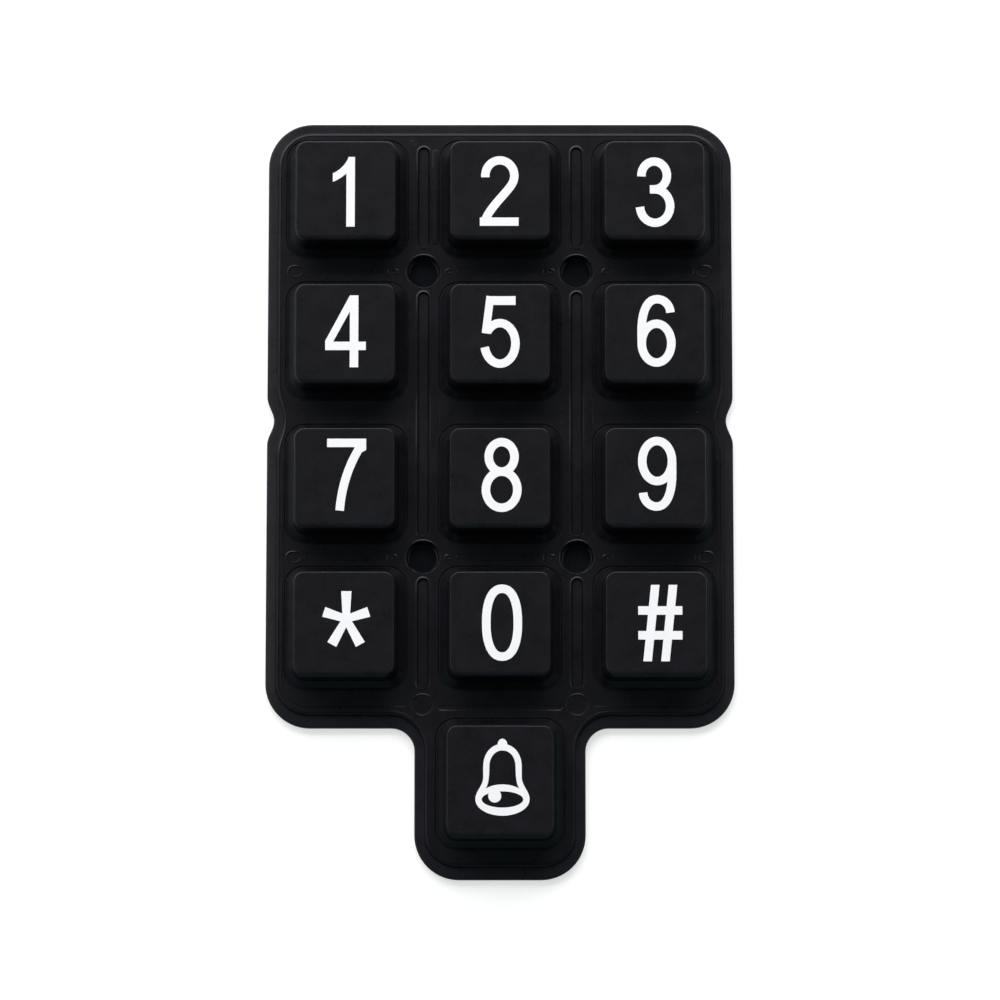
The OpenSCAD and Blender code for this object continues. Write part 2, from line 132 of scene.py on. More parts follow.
def wave_profile(knots: Sequence[tuple[float, float]], steps: int = 4) -> np.ndarray:
    """Line that swings from knot to knot and lies level at each.

    Between two knots the height is h0 + (h1 - h0) (1 - cos(pi t)) / 2. A row just beyond each end keeps
    the faces there level.

    Args:
        knots: Points as (inset, height).
        steps: Steps between two knots.

    Returns:
        Rows of (inset, height).
    """
    k = np.array(knots)
    t = np.linspace(0, 1, steps + 1)[1:]
    swing = (1 - np.cos(np.pi * t)) / 2
    inset = k[:-1, 0, None] + np.diff(k[:, 0])[:, None] * t
    height = k[:-1, 1, None] + np.diff(k[:, 1])[:, None] * swing
    beyond = np.array([LEVEL_ROW, 0.0])
    swung = np.stack([inset.ravel(), height.ravel()], axis=1)
    return np.concatenate([k[:1] - beyond, k[:1], swung, k[-1:] + beyond])


# Rings: closed lines around a form, anticlockwise as seen from the key side


def rounded_rings(half: Sequence[float], insets: np.ndarray, radii: np.ndarray, steps: int = 8) -> np.ndarray:
    """Rounded rectangles around the origin, one for each inset.

    A corner's points are (c_x (w - r) + r cos a, c_y (l - r) + r sin a), with w and l the half sizes less
    the inset, r its radius and a running over a quarter turn. A second point a little along each straight
    side keeps that side flat up to its corner.

    Args:
        half: Half width and half length of the form's rim.
        insets: Distance inwards from the rim, one for each ring.
        radii: Corner radius of each ring.
        steps: Steps in a corner.

    Returns:
        Array of rings, points, and x and y.
    """
    quarter = np.linspace(0, math.pi / 2, steps + 1)
    angle = np.concatenate([[0.0], quarter, [math.pi / 2]])
    slide = np.zeros(steps + 3)
    slide[[0, -1]] = 1.0
    turns = np.arange(4)[:, None] * math.pi / 2
    a = (angle[None] + turns).ravel()
    sign_x = np.repeat([1, -1, -1, 1], steps + 3)
    sign_y = np.repeat([1, 1, -1, -1], steps + 3)
    w = half[0] - insets[:, None]
    l = half[1] - insets[:, None]
    r = np.minimum(radii[:, None], 0.999 * np.minimum(w, l))
    along = np.tile(slide, 4)
    straight_half = np.where(np.abs(np.cos(a)) > 0.5, l, w) - r
    slack = np.minimum(SIDE_POINT[0], SIDE_POINT[1] * straight_half)
    vertical = np.isclose(np.abs(np.cos(a)), 1.0)
    x = sign_x * (w - r) + r * np.cos(a) - np.where(vertical, 0.0, along * slack * sign_x)
    y = sign_y * (l - r) + r * np.sin(a) - np.where(vertical, along * slack * sign_y, 0.0)
    return np.stack([x, y], axis=2)


def ribbon_rings(path: np.ndarray, half_widths: np.ndarray, steps: int = 8) -> np.ndarray:
    """Lines around a ribbon that follows an open path, with round ends, one for each half width.

    A side point is P + h N, with N the path's unit normal, and an end's points are P + h (cos a, sin a)
    over half a turn.

    Args:
        path: Points of the path's middle line.
        half_widths: Half width of the ribbon for each ring.
        steps: Steps in each round end.

    Returns:
        Array of rings, points, and x and y.
    """
    run = np.gradient(path, axis=0)
    run /= np.hypot(run[:, 0], run[:, 1])[:, None]
    left = np.stack([-run[:, 1], run[:, 0]], axis=1)
    half_turn = np.linspace(-math.pi / 2, math.pi / 2, steps + 1)[1:-1]
    far = math.atan2(run[-1, 1], run[-1, 0]) + half_turn
    near = math.atan2(-run[0, 1], -run[0, 0]) + half_turn
    direction = np.concatenate([
        -left,
        np.stack([np.cos(far), np.sin(far)], axis=1),
        left[::-1],
        np.stack([np.cos(near), np.sin(near)], axis=1),
    ])
    middle = np.concatenate([
        path,
        np.repeat(path[-1:], steps - 1, axis=0),
        path[::-1],
        np.repeat(path[:1], steps - 1, axis=0),
    ])
    return middle[None] + half_widths[:, None, None] * direction[None]


def round_rings(radii: np.ndarray, steps: int = 48) -> np.ndarray:
    """Circles r (cos a, sin a) around the origin, one for each radius."""
    a = np.linspace(0, 2 * math.pi, steps + 1)[:-1]
    return radii[:, None, None] * np.stack([np.cos(a), np.sin(a)], axis=1)[None]


def raised_to(rings: np.ndarray, heights: np.ndarray, centre: Sequence[float] = (0.0, 0.0)) -> np.ndarray:
    """Rings moved to a centre, each at its height.

    Args:
        rings: Flat rings around the origin.
        heights: Height of each ring.
        centre: Where the form stands.

    Returns:
        Array of rings, points, and x, y and z.
    """
    z = np.broadcast_to(heights[:, None, None], (*rings.shape[:2], 1))
    return np.concatenate([rings + np.asarray(centre), z], axis=2)


class Surface:
    """Collects the points and faces of one closed surface."""

    def __init__(self) -> None:
        """Starts with nothing in it."""
        self.points: list[np.ndarray] = []
        self.faces: list[list[int]] = []
        self.count = 0

    def skin(self, rings: np.ndarray, side: Side = Side.FRONT) -> tuple[np.ndarray, np.ndarray]:
        """Joins rings by four-sided faces.

        Rings k and k + 1 give the faces (k, i), (k, i + 1), (k + 1, i + 1), (k + 1, i).

        Args:
            rings: Rings from the rim inwards, or up the outside of the body.
            side: Which way the faces look.

        Returns:
            Point numbers of the first and the last ring.
        """
        levels, around = rings.shape[:2]
        number = self.count + np.arange(levels * around).reshape(levels, around)
        after = np.roll(number, -1, axis=1)
        quads = np.stack([number[:-1], after[:-1], after[1:], number[1:]], axis=2).reshape(-1, 4)
        if side is Side.BACK:
            quads = quads[:, ::-1]
        self.points.append(rings.reshape(-1, 3))
        self.faces += quads.tolist()
        self.count += levels * around
        return number[0], number[-1]

    def lid(self, ring: np.ndarray, side: Side = Side.FRONT) -> None:
        """Closes a ring by one flat face. `side` is the way it looks."""
        self.faces.append((ring if side is Side.FRONT else ring[::-1]).tolist())

    def sheet(self, edge: np.ndarray, holes: Sequence[np.ndarray], side: Side) -> None:
        """Fills the flat face inside an edge, around its holes, with triangles.

        The whole area is triangulated along the edges, and a triangle stays if a line from its middle
        towards +x crosses the edges an odd number of times.

        Args:
            edge: Point numbers of the outer edge.
            holes: Point numbers of each hole's edge.
            side: Which way the face looks.

        Raises:
            ValueError: If two edges touch or cross, so that a form would be lost.
        """
        loops = [edge, *holes]
        used = np.concatenate(loops)
        place = np.concatenate(self.points)[used][:, :2]
        starts = np.cumsum([0, *[len(loop) for loop in loops]])
        edges = [
            (start + i, start + (i + 1) % len(loop))
            for start, loop in zip(starts, loops)
            for i in range(len(loop))
        ]
        found = delaunay_2d_cdt([Vector(p) for p in place.tolist()], edges, [], 0, TOUCHING)
        origin = found[3]
        lost = [tuple(round(c, 3) for c in found[0][i]) for i, o in enumerate(origin) if len(o) != 1]
        if lost:
            raise ValueError(f"forms of the flat face touch or cross at {lost[:6]}")
        corners = np.array([p[:] for p in found[0]])
        triangles = np.array(found[2])
        middle = corners[triangles].mean(axis=1)
        start, end = place[np.array(edges).T]
        above = (start[:, 1] > middle[:, None, 1]) != (end[:, 1] > middle[:, None, 1])
        rise = np.where(start[:, 1] == end[:, 1], 1.0, end[:, 1] - start[:, 1])
        share = (middle[:, None, 1] - start[:, 1]) / rise
        beyond = start[:, 0] + share * (end[:, 0] - start[:, 0]) > middle[:, None, 0]
        inside = (above & beyond).sum(axis=1) % 2 == 1
        triangles = used[np.array([o[0] for o in origin])][triangles[inside]]
        self.faces += (triangles if side is Side.FRONT else triangles[:, ::-1]).tolist()

    def piece(self, name: str) -> bpy.types.Object:
        """Makes the surface an object, with its points in metres and smooth faces.

        Args:
            name: The object's name.

        Returns:
            The object.
        """
        mesh = bpy.data.meshes.new(name)
        mesh.from_pydata((np.concatenate(self.points) * MM).tolist(), [], self.faces)
        mesh.validate()
        mesh.update()
        mesh.shade_smooth()
        made = bpy.data.objects.new(name, mesh)
        bpy.context.scene.collection.objects.link(made)
        return made


# The keys


@dataclass(frozen=True)
class Key:
    """One key: its name, its middle, and its size between its top edges."""

    name: str
    x: float
    y: float
    width: float
    length: float


@dataclass(frozen=True)
class KeyGrid:
    """Twelve keys in three columns and four rows, and a call key on the tab below."""

    column_pitch: float = 19.1
    row_pitch: float = 18.0
    first_row_y: float = 37.675
    call_key_y: float = -35.625
    width: float = 12.4
    length: float = 12.2
    last_row_length: float = 12.6
    call_key_width: float = 13.1
    call_key_length: float = 13.4
    names: tuple[str, ...] = ("1", "2", "3", "4", "5", "6", "7", "8", "9", "star", "0", "hash")

    def row_y(self, row: int) -> float:
        """Middle of a row, counted from 0 at the 1-2-3 row."""
        return self.first_row_y - row * self.row_pitch

    def gap_y(self, row: int) -> float:
        """Middle of the gap below a row."""
        return self.row_y(row) - self.row_pitch / 2

    def keys(self) -> list[Key]:
        """All keys, row by row.

        Returns:
            The keys, with the call key last.
        """
        made = []
        for i, name in enumerate(self.names):
            row, column = divmod(i, 3)
            length = self.last_row_length if row == 3 else self.length
            made.append(Key(name, (column - 1) * self.column_pitch, self.row_y(row), self.width, length))
        made.append(Key("bell", 0.0, self.call_key_y, self.call_key_width, self.call_key_length))
        return made


# The moulding


@dataclass(frozen=True)
class MatOutline:
    """The mat seen from above: a key field with round corners and a dip in each side, and a tab."""

    width: float = 58.0
    top_y: float = 47.375
    field_low_y: float = -28.675
    field_r: float = 5.5
    tab_width: float = 21.1
    tab_r: float = 5.5
    neck_r: float = 2.9
    notch_y: float = 9.675
    notch_length: float = 6.0
    notch_depth: float = 0.85
    # The flange is wider by this factor where it faces the tab's end
    low_spread: float = 1.27
    corner_steps: int = 14
    notch_steps: int = 20
    # Where the further points of a straight stretch lie along it
    stretch_shares: tuple[float, ...] = (0.03, 0.5, 0.97)

    def rings(self, insets: np.ndarray) -> np.ndarray:
        """The outline moved inwards by each inset.

        Each corner is C + r (cos a, sin a) with its radius less the inset, the inner corner beside the
        tab has its radius plus the inset, and the dip is x = X - D (1 - cos(2 pi t)) / 2 over a length
        that grows with the inset. Edges that face the tab's end move in by `low_spread` times the inset,
        so the corners beside them are parts of ellipses. Straight stretches carry a few more points.
        The left half is the right half mirrored.

        Args:
            insets: Distances inwards from the edge.

        Returns:
            Array of rings, points, and x and y.
        """
        d = insets[:, None]
        low = d * self.low_spread

        def corner(
            x: float, y: float, across: np.ndarray, along: np.ndarray, start: float, end: float
        ) -> np.ndarray:
            """Points of a round corner about (x, y), from one angle to another in degrees."""
            a = np.radians(np.linspace(start, end, self.corner_steps + 1))
            return np.stack([x + across * np.cos(a), y + along * np.sin(a)], axis=2)

        t = np.linspace(0, 1, self.notch_steps + 1)
        reach = self.notch_length / 2 + d
        dip = np.stack([
            self.width / 2 - d - self.notch_depth * (1 - np.cos(2 * np.pi * t)) / 2,
            self.notch_y + reach * (2 * t - 1),
        ], axis=2)
        field_x = self.width / 2 - self.field_r
        tab_x = self.tab_width / 2 - self.tab_r
        neck_x = self.tab_width / 2 + self.neck_r
        zero = np.zeros_like(d)
        stretches = [
            np.stack([zero, -self.top_y + low], axis=2),
            corner(tab_x, -self.top_y + self.tab_r, self.tab_r - d, self.tab_r - low, -90, 0),
            corner(neck_x, self.field_low_y - self.neck_r, self.neck_r + d, self.neck_r + low, 180, 90),
            corner(field_x, self.field_low_y + self.field_r, self.field_r - d, self.field_r - low, -90, 0),
            dip,
            corner(field_x, self.top_y - self.field_r, self.field_r - d, self.field_r - d, 0, 90),
            np.stack([zero, self.top_y - d], axis=2),
        ]
        parts = [stretches[0]]
        for before, after in zip(stretches, stretches[1:]):
            a, b = before[:, -1:], after[:, :1]
            parts += [a + (b - a) * np.array(self.stretch_shares)[None, :, None], after]
        right = np.concatenate(parts, axis=1)
        left = right[:, -2:0:-1] * np.array([-1.0, 1.0])
        return np.concatenate([right, left], axis=1)


@dataclass(frozen=True)
class Mark:
    """A small form on the field, along a straight or bent middle line.

    Its profile starts at its rim, which lies `half_width` from the middle line.
    """

    path: Points
    half_width: float
    profile: Points

    def rings(self, level: float) -> np.ndarray:
        """Rings of the form on a face.

        Args:
            level: Height of the face.

        Returns:
            Array of rings, points, and x, y and z.
        """
        rows = wave_profile(self.profile)
        flat = ribbon_rings(np.array(self.path), self.half_width - rows[:, 0])
        return raised_to(flat, level + rows[:, 1])


def straight(a: tuple[float, float], b: tuple[float, float], points: int = 3) -> Points:
    """Evenly spaced points from a to b."""
    return tuple(map(tuple, np.linspace(a, b, points).tolist()))


@dataclass(frozen=True)
class FieldRelief:
    """What the mould leaves on the field between the keys."""

    land_x: float = 9.55
    groove_half: float = 0.68
    groove_ends: Points = ((44.3, 31.45), (25.85, -4.9), (-10.15, -23.85))
    # A low lip around a groove 0.3 mm deep
    groove: Points = ((-0.28, 0.0), (-0.06, 0.05), (0.14, -0.3))
    strip_x: float = -8.1
    strip_half: float = 0.38
    strip_ends: tuple[float, float] = (44.0, 31.9)
    strip: Points = ((0.0, 0.0), (0.14, 0.1))
    # The marks of a gap lie a little below its middle
    row_drop: float = 0.2
    slot_half: float = 0.44
    # Half the length of a slot's middle line, in the outer columns and in the middle one
    slot_reach: tuple[float, float] = (4.7, 5.0)
    slot: Points = ((-0.05, 0.0), (0.08, -0.04))
    # Oval marks near the long edges, and dots beside the sockets. A reach is half a middle line
    oval_x: float = 25.6
    oval_half: float = 0.7
    oval_reach: float = 0.19
    dot_x: tuple[float, ...] = (6.42, 13.15)
    dot_half: float = 0.26
    dot_reach: float = 0.09
    oval: Points = ((-0.12, 0.0), (0.0, 0.05), (0.12, -0.08))
    # What the mould's pins leave below the last row, and the low slot between them
    pin_y: float = -25.875
    pin_half: float = 1.35
    pin_reach: float = 0.02
    pin: Points = ((-0.1, 0.0), (0.0, 0.04), (0.15, -0.08))
    low_slot_reach: float = 7.4
    low_slot_half: float = 0.3
    low_slot_drop: float = 0.36
    # Threads of flash from the mould, as lines of points
    flash: tuple[Points, ...] = (
        ((-11.25, 45.2), (-10.85, 44.95), (-10.95, 44.65), (-10.45, 44.5), (-10.4, 44.75)),
        ((27.1, 29.3), (27.18, 29.0), (27.1, 28.75)),
        ((12.3, -7.2), (12.4, -7.45), (12.28, -7.75)),
        ((25.0, 11.7), (25.12, 11.35)),
        ((24.4, 10.7), (24.65, 10.55)),
    )
    thread_half: float = 0.08
    thread: Points = ((0.0, 0.0), (0.06, 0.05))
    # A fine line just inside the step, on the lower half of the field
    rim_line_x: float = 27.0
    rim_line_high_y: float = 5.0
    rim_line_low_y: float = -26.15
    rim_line_end_x: float = 11.7
    rim_line_r: float = 3.3
    # The points next to its corner and next to its end lie this far from them
    rim_line_lead: float = 1.0
    rim_line_half: float = 0.09
    rim_line: Points = ((0.0, 0.0), (0.07, 0.06))
    # Seams of the mould between rows 2 and 3. Their middle lines end seam_gap from the key tops' edges
    seam_x: tuple[float, ...] = (7.62, 11.48)
    seam_gap: float = 1.7
    seam_half: float = 0.1
    seam: Points = ((0.0, 0.0), (0.07, -0.08))

    def rim_path(self, side: int) -> Points:
        """Middle line of the fine line inside the step: down the side, around the corner and inwards.

        Args:
            side: 1 for the line at +x, -1 for the one at -x.

        Returns:
            Points of the line.
        """
        x, high, low = self.rim_line_x, self.rim_line_high_y, self.rim_line_low_y
        r, lead, end_x = self.rim_line_r, self.rim_line_lead, self.rim_line_end_x
        a = np.radians(np.linspace(0, -90, 10))
        bend = np.stack([x - r + r * np.cos(a), low + r + r * np.sin(a)], axis=1)
        down = np.array([(x, high), (x, high / 2), (x, low + r + lead)])
        end = np.array([(x - r - lead, low), (end_x + lead, low), (end_x, low)])
        return tuple(map(tuple, (np.concatenate([down, bend, end]) * np.array([side, 1])).tolist()))

    def marks(self, grid: KeyGrid) -> list[Mark]:
        """All marks of the field.

        Args:
            grid: The keys that they lie between.

        Returns:
            The marks.
        """
        made: list[Mark] = []

        def down(x: float, high: float, low: float, half: float, profile: Points) -> None:
            """Adds a mark whose middle line runs down at x."""
            made.append(Mark(straight((x, high), (x, low)), half, profile))

        def across(x: float, y: float, reach: float, half: float, profile: Points, points: int = 2) -> None:
            """Adds a mark whose middle line reaches equally far to both sides of (x, y)."""
            made.append(Mark(straight((x - reach, y), (x + reach, y), points), half, profile))

        half = self.groove_half
        for side in (-1, 1):
            for high, low in self.groove_ends:
                down(side * self.land_x, high - half, low + half, half, self.groove)
        high, low = self.strip_ends
        down(self.strip_x, high - self.strip_half, low + self.strip_half, self.strip_half, self.strip)
        for gap in (0, 2):
            y = grid.gap_y(gap) - self.row_drop
            for column in (-1, 0, 1):
                reach = self.slot_reach[column == 0]
                across(column * grid.column_pitch, y, reach, self.slot_half, self.slot, 3)
            for side in (-1, 1):
                across(side * self.oval_x, y, self.oval_reach, self.oval_half, self.oval)
                for dot in self.dot_x:
                    across(side * dot, y, self.dot_reach, self.dot_half, self.oval)
        for side in (-1, 1):
            across(side * self.land_x, self.pin_y, self.pin_reach, self.pin_half, self.pin)
        y = self.pin_y - self.low_slot_drop
        across(0.0, y, self.low_slot_reach, self.low_slot_half, self.slot, 3)
        made += [Mark(path, self.thread_half, self.thread) for path in self.flash]
        made += [Mark(self.rim_path(side), self.rim_line_half, self.rim_line) for side in (-1, 1)]
        high = grid.row_y(1) - grid.length / 2 - self.seam_gap
        low = grid.row_y(2) + grid.length / 2 + self.seam_gap
        for side in (-1, 1):
            for x in self.seam_x:
                down(side * x, high, low, self.seam_half, self.seam)
        return made


@dataclass(frozen=True)
class MatMoulding:
    """The whole black moulding: flange, raised field, keys on their webs, sockets, marks and underside."""

    grid: KeyGrid = KeyGrid()
    outline: MatOutline = MatOutline()
    relief: FieldRelief = FieldRelief()
    flange_height: float = 1.2
    flange_width: float = 1.4
    field_height: float = 1.8
    bead: float = 0.06
    flange_fall: float = 0.01
    key_height: float = 8.0
    key_corner_r: float = 1.3
    draft: float = 0.35
    web_run: float = 1.0
    web_rise: float = 0.9
    web_thickness: float = 0.6
    moat_depth: float = 0.2
    key_edge: float = 0.12
    crease: float = 0.16
    # Each key's near edge is rounder: its face rolls off and its wall stands upright there
    near_roll: float = 0.55
    near_drop: float = 0.22
    near_reach: float = 0.33
    near_spread: float = 1.65
    # The face's last ring lies this far inside its edge. The rings before it carry the roll: the first
    # one's inset, the last one's, and how many there are
    face_inset: float = 1.2
    face_rings: tuple[float, float, int] = (0.3, 1.1, 9)
    # How far the flange falls towards its edge on the two long sides
    side_fall: float = 0.12
    socket_r: float = 1.97
    socket_depth: float = 1.55
    socket_y_drop: float = 0.2
    plunger_step: float = 1.25
    plunger_height: float = 1.4
    channel_width: float = 1.5
    channel_depth: float = 0.4
    # Edges that turn by more than this many degrees stay crisp
    crisp_angle: float = 40.0

    def body(self, surface: Surface) -> tuple[np.ndarray, np.ndarray]:
        """Adds the outer wall, the flange, the step and its bead.

        Args:
            surface: The surface to add to.

        Returns:
            Point numbers of the underside's edge and of the field's.
        """
        f, h = self.flange_width, self.field_height
        rows = soft_profile([
            (0.3, 0.0, 0.0),
            (0.0, 0.0, 0.12),
            (0.0, self.flange_height - self.flange_fall, 0.2),
            (f - 0.24, self.flange_height, 0.04),
            (f - 0.15, h - 0.2, 0.03),
            (f - 0.04, h - 0.01, 0.03),
            (f + 0.13, h + self.bead, 0.06),
            (f + 0.18, h + self.bead, 0.02),
            (f + 0.22, h, 0.01),
            (f + 0.24, h, 0.0),
        ])
        rings = raised_to(self.outline.rings(rows[:, 0]), rows[:, 1])
        on_flange = np.clip(1 - rows[:, 0] / (f - 0.2), 0, 1) * (rows[:, 1] > 0.8 * self.flange_height)
        from_side = self.outline.width / 2 - np.abs(rings[..., 0])
        beside = np.clip(1 - from_side / self.outline.field_r, 0, 1) ** 2
        rings[..., 2] -= self.side_fall * on_flange[:, None] * beside
        return surface.skin(rings)

    def key(self, surface: Surface, key: Key) -> np.ndarray:
        """Adds one key with its web and the fine groove around it.

        Towards the near edge, at distance q, the face falls by drop (1 - q / roll)^2, and the wall and
        face move out by reach (1 - q / spread), both by the share of the wall's height.

        Args:
            surface: The surface to add to.
            key: The key.

        Returns:
            Point numbers of its rim on the field.
        """
        h = self.field_height
        foot = h - self.moat_depth
        edge = self.draft + self.web_run
        rows = soft_profile([
            (-0.12, h, 0.0),
            (-0.1, h, 0.01),
            (0.0, h - self.crease, 0.02),
            (0.08, h - self.crease, 0.02),
            (self.web_run + 0.04, foot + self.web_rise, 0.2),
            (edge, self.key_height - self.key_edge, self.key_edge),
            (edge + self.key_edge, self.key_height, 0.1),
            (edge + self.face_inset, self.key_height, 0.0),
        ], 7)
        face = edge + np.linspace(*self.face_rings)
        flat = np.stack([face, np.full(face.size, self.key_height)], axis=1)
        rows = np.concatenate([rows[:-1], flat, rows[-1:]])
        r = self.key_corner_r
        foot_r = r + self.web_run + 0.1
        radii = np.interp(
            rows[:, 0],
            [-0.12, 0.0, self.web_run, edge, edge + 0.8],
            [foot_r + 0.12, foot_r, r + self.draft, r, r - 0.8],
        )
        half = (key.width / 2 + edge, key.length / 2 + edge)
        rings = raised_to(rounded_rings(half, rows[:, 0], radii), rows[:, 1], (key.x, key.y))
        away = np.maximum(rings[..., 1] - (key.y - key.length / 2), 0.0)
        wall_foot = foot + self.web_rise
        risen = np.clip((rings[..., 2] - wall_foot) / (self.key_height - wall_foot), 0, 1)
        rings[..., 2] -= self.near_drop * risen * np.clip(1 - away / self.near_roll, 0, 1) ** 2
        rings[..., 1] -= self.near_reach * risen * np.clip(1 - away / self.near_spread, 0, 1)
        rim, top = surface.skin(rings)
        surface.lid(top)
        return rim

    def well(self, surface: Surface, key: Key) -> np.ndarray:
        """Adds the hollow under one key with the solid plunger in it.

        Args:
            surface: The surface to add to.
            key: The key.

        Returns:
            Point numbers of its rim on the underside.
        """
        under_web = self.field_height - self.moat_depth - self.web_thickness
        ceiling = under_web + self.web_rise
        plunger = self.web_run + self.plunger_step
        rows = soft_profile([
            (-0.15, 0.0, 0.0),
            (0.0, 0.0, 0.1),
            (0.0, under_web, 0.15),
            (self.web_run, ceiling, 0.1),
            (plunger, ceiling, 0.1),
            (plunger, self.plunger_height, 0.12),
            (plunger + 1.0, self.plunger_height, 0.0),
        ], 4)
        edge = self.draft + self.web_run
        foot_r = self.key_corner_r + self.web_run / 2
        radii = np.interp(
            rows[:, 0],
            [0.0, self.web_run, plunger, plunger + 1.0],
            [foot_r, self.key_corner_r + self.draft, self.key_corner_r, self.key_corner_r - 0.6],
        )
        half = (key.width / 2 + edge, key.length / 2 + edge)
        rings = raised_to(rounded_rings(half, rows[:, 0], radii, 6), rows[:, 1], (key.x, key.y))
        rim, end = surface.skin(rings, Side.BACK)
        surface.lid(end, Side.BACK)
        return rim

    def socket(self, surface: Surface, x: float, y: float) -> np.ndarray:
        """Adds one blind locating socket with a soft lip around its mouth.

        Args:
            surface: The surface to add to.
            x: Middle of the socket along x.
            y: Middle of the socket along y.

        Returns:
            Point numbers of its rim on the field.
        """
        h, r = self.field_height, self.socket_r
        rows = soft_profile([
            (-0.3, h, 0.0),
            (-0.27, h, 0.03),
            (-0.15, h + 0.045, 0.05),
            (0.0, h - 0.1, 0.06),
            (0.05, h - self.socket_depth + 0.04, 0.12),
            (0.3, h - self.socket_depth, 0.1),
            (r - 0.1, h - self.socket_depth, 0.0),
        ])
        rim, floor = surface.skin(raised_to(round_rings(r - rows[:, 0]), rows[:, 1], (x, y)))
        surface.lid(floor)
        return rim

    def channels(self) -> list[bpy.types.Object]:
        """Bars that cut the air channels of the underside.

        Returns:
            One object along the columns and one along the rows.
        """
        w, d = self.channel_width / 2, self.channel_depth
        rows = soft_profile([(0.0, -1.0, 0.0), (0.0, 0.0, 0.02), (0.0, d, 0.15), (0.3, d, 0.0)], 4)
        keys = self.grid.keys()
        low_ends = (keys[9], keys[12], keys[11])
        bars = []
        for name, pairs in (
            ("column_bars", zip(keys[:3], low_ends)),
            ("row_bars", zip(keys[0:12:3], keys[2:12:3])),
        ):
            cutter = Surface()
            for a, b in pairs:
                path = np.array(straight((a.x, a.y), (b.x, b.y)))
                rings = raised_to(ribbon_rings(path, w - rows[:, 0]), rows[:, 1])
                low, high = cutter.skin(rings)
                cutter.lid(low, Side.BACK)
                cutter.lid(high)
            bars.append(cutter.piece(name))
        return bars

    def build(self) -> bpy.types.Object:
        """Builds the moulding as one closed surface.

        Returns:
            Its object.
        """
        surface = Surface()
        under_edge, field_edge = self.body(surface)
        keys = self.grid.keys()
        front = [self.key(surface, key) for key in keys]
        for gap in (0, 2):
            for side in (-1, 1):
                y = self.grid.gap_y(gap) - self.socket_y_drop
                front.append(self.socket(surface, side * self.relief.land_x, y))
        for mark in self.relief.marks(self.grid):
            rim, end = surface.skin(mark.rings(self.field_height))
            surface.lid(end)
            front.append(rim)
        back = [self.well(surface, key) for key in keys]
        surface.sheet(field_edge, front, Side.FRONT)
        surface.sheet(under_edge, back, Side.BACK)
        mat = surface.piece("silicone_mat")
        carve(mat, self.channels())
        mat.data.set_sharp_from_angle(angle=math.radians(self.crisp_angle))
        return mat


def carve(piece: bpy.types.Object, cutters: Sequence[bpy.types.Object]) -> None:
    """Cuts closed bodies out of a piece and removes them.

    Args:
        piece: The piece to cut. Its mesh is replaced by the cut one.
        cutters: Closed bodies, which are deleted.
    """
    for cutter in cutters:
        cut = piece.modifiers.new(cutter.name, "BOOLEAN")
        cut.operation = "DIFFERENCE"
        cut.solver = "MANIFOLD"
        cut.object = cutter
    graph = bpy.context.evaluated_depsgraph_get()
    carved = bpy.data.meshes.new_from_object(piece.evaluated_get(graph))
    piece.modifiers.clear()
    old = piece.data
    piece.data = carved
    bpy.data.meshes.remove(old)
    for cutter in cutters:
        body = cutter.data
        bpy.data.objects.remove(cutter)
        bpy.data.meshes.remove(body)
    piece.data.shade_smooth()


@dataclass(frozen=True)
class ContactPills:
    """Thirteen pills of conductive carbon rubber, one bonded under each plunger."""

    grid: KeyGrid = KeyGrid()
    radius: float = 2.5
    thickness: float = 0.4
    travel: float = 1.0

    def build(self) -> list[tuple[bpy.types.Object, str]]:
        """Builds the pills.

        Returns:
            Each pill with the name of the solid that it stands for.
        """
        made = []
        low, high = self.travel, self.travel + self.thickness
        rows = soft_profile([
            (self.radius - 0.4, low, 0.0),
            (0.0, low, 0.12),
            (0.0, high, 0.03),
            (self.radius - 0.4, high, 0.0),
        ])
        flat = round_rings(self.radius - rows[:, 0])
        for key in self.grid.keys():
            surface = Surface()
            under, upper = surface.skin(raised_to(flat, rows[:, 1], (key.x, key.y)))
            surface.lid(under, Side.BACK)
            surface.lid(upper)
            made.append((surface.piece(f"carbon_pill_{key.name}"), f"contact_pill_{key.name}"))
        return made


# Finishes


def linear(colour: str) -> tuple[float, float, float, float]:
    """Linear colour of an sRGB value: c / 12.92 up to 0.04045, else ((c + 0.055) / 1.055)^2.4.

    Args:
        colour: Hex value with a leading number sign.

    Returns:
        Red, green and blue from 0 to 1, and 1 for the alpha.
    """
    c = np.array([int(colour[i : i + 2], 16) for i in (1, 3, 5)]) / 255
    value = np.where(c <= 0.04045, c / 12.92, ((c + 0.055) / 1.055) ** 2.4)
    return (*value.tolist(), 1.0)


def pattern_scale(size_mm: float) -> float:
    """Scale of a noise whose features are about size_mm across, on coordinates in metres."""
    return 1 / (size_mm * MM)


def add_node(
    tree: bpy.types.NodeTree,
    kind: str,
    values: dict[str | int, Any] | None = None,
    links: dict[str | int, bpy.types.NodeSocket] | None = None,
    **settings: Any,
) -> bpy.types.Node:
    """Adds a node with its settings, values and links.

    Args:
        tree: The node tree.
        kind: The node's type name.
        values: Input socket to its constant.
        links: Input socket to the output that feeds it.
        **settings: Properties of the node itself.

    Returns:
        The node.
    """
    node = tree.nodes.new(kind)
    for name, value in settings.items():
        setattr(node, name, value)
    for name, value in (values or {}).items():
        node.inputs[name].default_value = value
    for name, source in (links or {}).items():
        tree.links.new(source, node.inputs[name])
    return node


def blank_material(name: str) -> tuple[bpy.types.Material, bpy.types.NodeTree]:
    """A new material with nothing in its node tree.

    Args:
        name: Name of the real material.

    Returns:
        The material and its node tree.
    """
    material = bpy.data.materials.new(name)
    material.use_nodes = True
    material.node_tree.nodes.clear()
    return material, material.node_tree


